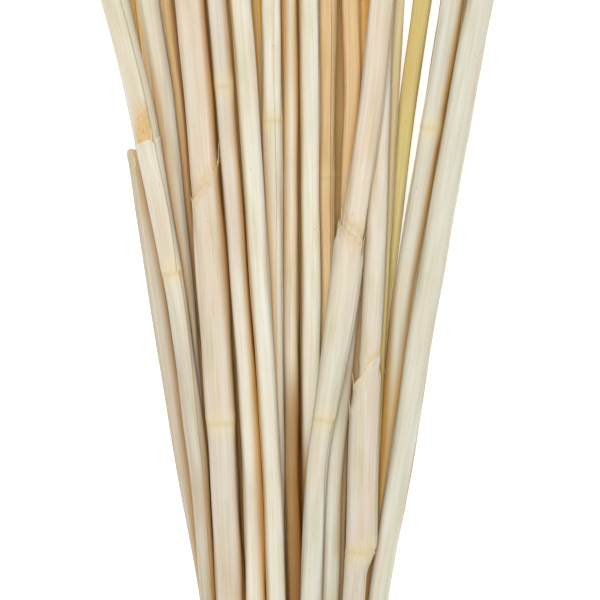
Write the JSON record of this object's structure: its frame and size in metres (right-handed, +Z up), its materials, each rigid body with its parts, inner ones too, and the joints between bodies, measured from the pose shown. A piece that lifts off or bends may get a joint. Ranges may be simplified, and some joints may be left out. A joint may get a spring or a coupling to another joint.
{
  "type": "bunch of reeds",
  "caption": "Bunch of dried bleached reeds, tied with twine at the waist and fanned at the heads, lying on its side.",
  "frame": {"origin": "centre of the bunch's bounding box, at the surface it lies on", "axes": "+Y along the bunch from the cut feet to the fanned heads, +X across it, +Z up from the surface it lies on"},
  "size_m": [0.1586, 0.378, 0.0617],
  "materials": {
    "pale_reed": "dry bleached cream reed, smooth, faint lengthwise lines, dull satin",
    "golden_reed": "dry straw-gold reed, faint lengthwise lines, dull satin",
    "olive_reed": "dry reed with a greenish-yellow tint, dull satin",
    "twine": "two-ply natural jute twine, matt and slightly hairy"
  },
  "bodies": {
    "root": {"reed_01": "pale_reed", "reed_02": "pale_reed", "reed_03": "pale_reed", "reed_04": "pale_reed", "reed_05": "pale_reed", "reed_06": "pale_reed", "reed_07": "pale_reed", "reed_08": "pale_reed", "reed_09": "pale_reed", "reed_10": "pale_reed", "reed_11": "pale_reed", "reed_12": "pale_reed", "reed_13": "pale_reed", "reed_14": "pale_reed", "reed_15": "pale_reed", "reed_16": "pale_reed", "reed_17": "golden_reed", "reed_18": "golden_reed", "reed_19": "golden_reed", "reed_20": "golden_reed", "reed_21": "golden_reed", "reed_22": "olive_reed", "reed_23": "golden_reed", "reed_24": "golden_reed", "reed_25": "golden_reed", "reed_26": "golden_reed", "reed_27": "golden_reed", "reed_28": "golden_reed", "reed_29": "golden_reed", "reed_30": "golden_reed", "reed_31": "golden_reed", "reed_32": "golden_reed", "reed_33": "golden_reed", "reed_34": "golden_reed", "reed_35": "golden_reed", "reed_36": "golden_reed", "reed_37": "golden_reed", "reed_38": "golden_reed", "reed_39": "golden_reed", "reed_40": "golden_reed", "reed_41": "golden_reed", "reed_42": "golden_reed", "reed_43": "golden_reed", "reed_44": "golden_reed", "reed_45": "golden_reed", "tie": "twine"}
  },
  "joints": []
}
